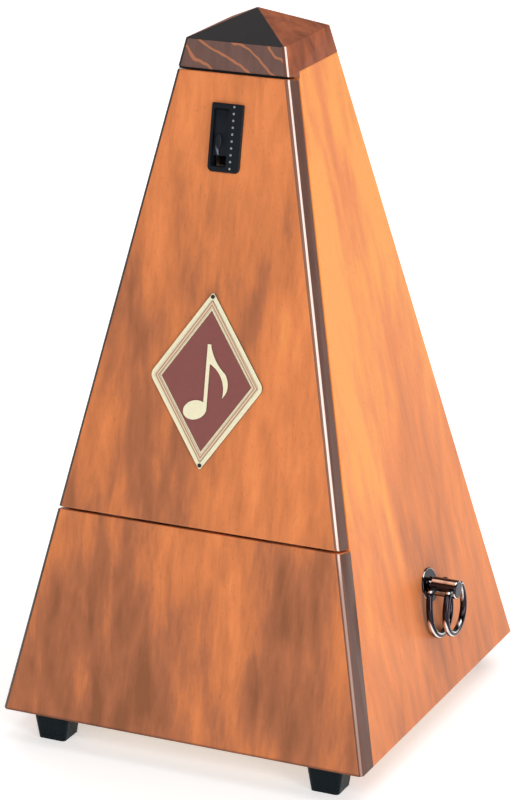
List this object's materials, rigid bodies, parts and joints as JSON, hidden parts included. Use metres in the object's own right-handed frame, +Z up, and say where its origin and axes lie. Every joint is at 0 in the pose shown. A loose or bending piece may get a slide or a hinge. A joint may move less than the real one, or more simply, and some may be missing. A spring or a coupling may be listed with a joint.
{
  "type": "metronome",
  "caption": "Pyramid-shaped wooden clockwork metronome with a tilting front cover, swinging pendulum, sliding tempo weight and a side winding key.",
  "frame": {"origin": "on the table under the middle of the case", "axes": "+Z up, front cover towards -Y, winding key towards +X"},
  "size_m": [0.1224, 0.12, 0.2206],
  "materials": {
    "walnut_panel": "gloss lacquer",
    "crown_wood": "figured, lacquered",
    "plain_wood": "unfinished",
    "black_plastic": "satin",
    "foot_rubber": "satin",
    "badge_cream": "enamel",
    "badge_band": "enamel",
    "badge_maroon": "enamel",
    "nickel": "polished",
    "brass": "satin",
    "spring_steel": "blued",
    "steel": "turned",
    "scale_paint": "satin"
  },
  "bodies": {
    "case": {"side_panel_left": "walnut_panel", "side_panel_right": "walnut_panel", "back_panel": "walnut_panel", "lower_front_panel": "walnut_panel", "base_board": "plain_wood", "feet": "foot_rubber", "foot_screws": "steel", "crown": "crown_wood", "mask_board": "plain_wood", "scale_plate": "scale_paint", "rod_clip": "brass", "key_escutcheon": "nickel", "mainspring": "spring_steel", "movement_plate_left": "brass", "movement_plate_right": "brass", "pillars": "brass", "plate_screws": "steel", "front_bridge": "brass", "rear_bridge": "brass", "front_bush": "brass", "rear_bush": "brass", "bridge_screws": "steel", "mounting_brackets": "brass", "bracket_screws": "steel"},
    "key": {"winding_arbor": "steel", "key_hub": "nickel", "great_wheel": "brass", "ratchet_wheel": "steel", "click": "steel", "click_spring": "spring_steel"},
    "inner_loop": {"key_loop_inner": "nickel"},
    "outer_loop": {"key_loop_outer": "nickel"},
    "intermediate": {"intermediate_arbor": "steel", "intermediate_pinion": "steel", "intermediate_wheel": "brass"},
    "escape": {"escape_arbor": "steel", "escape_pinion": "steel", "escape_wheel": "brass"},
    "pendulum": {"pendulum_axle": "steel", "rod_hub": "brass", "pendulum_rod": "nickel", "pendulum_bob": "brass", "pallets": "steel"},
    "weight": {"tempo_weight": "brass", "weight_spring": "spring_steel"},
    "cover": {"cover": "walnut_panel", "locating_tongues": "plain_wood", "catch_housing": "black_plastic", "catch_leaf_springs": "spring_steel", "badge_plate": "badge_cream", "badge_band": "badge_band", "badge_field": "badge_maroon", "badge_motif": "badge_cream", "badge_pins": "steel"},
    "catch": {"catch_slider": "black_plastic"}
  },
  "joints": [
    {"name": "key_spin", "type": "hinge", "parent": "case", "child": "key", "pos_m": [0, 0.0078, 0.0437], "axis": [1, 0, 0], "continuous": true},
    {"name": "intermediate_spin", "type": "hinge", "parent": "case", "child": "intermediate", "pos_m": [0, -0.01211, 0.03532], "axis": [1, 0, 0], "continuous": true},
    {"name": "escape_spin", "type": "hinge", "parent": "case", "child": "escape", "pos_m": [0, -0.028, 0.04377], "axis": [1, 0, 0], "continuous": true},
    {"name": "inner_loop_swing", "type": "hinge", "parent": "key", "child": "inner_loop", "pos_m": [0.0555, 0.0078, 0.0437], "axis": [0, -1, 0], "range_deg": [0, 3.3]},
    {"name": "outer_loop_swing", "type": "hinge", "parent": "key", "child": "outer_loop", "pos_m": [0.0609, 0.0078, 0.0437], "axis": [0, -1, 0], "range_deg": [-3, 148]},
    {"name": "pendulum_swing", "type": "hinge", "parent": "case", "child": "pendulum", "pos_m": [0, -0.04093, 0.06268], "axis": [0, -0.9776, 0.2106], "range_deg": [-22, 22]},
    {"name": "weight_slide", "type": "slide", "parent": "pendulum", "child": "weight", "axis": [0, 0.2106, 0.9776], "range_m": [0, 0.062]},
    {"name": "cover_tilt", "type": "hinge", "parent": "case", "child": "cover", "pos_m": [0, -0.04629, 0.07314], "axis": [1, 0, 0], "range_deg": [0, 65]},
    {"name": "catch_slide", "type": "slide", "parent": "cover", "child": "catch", "axis": [0, -0.2106, -0.9776], "range_m": [0, 0.003]}
  ],
  "couplings": [
    {"joint": "intermediate_spin", "follows": "key_spin", "ratio": -5},
    {"joint": "escape_spin", "follows": "key_spin", "ratio": 20}
  ]
}
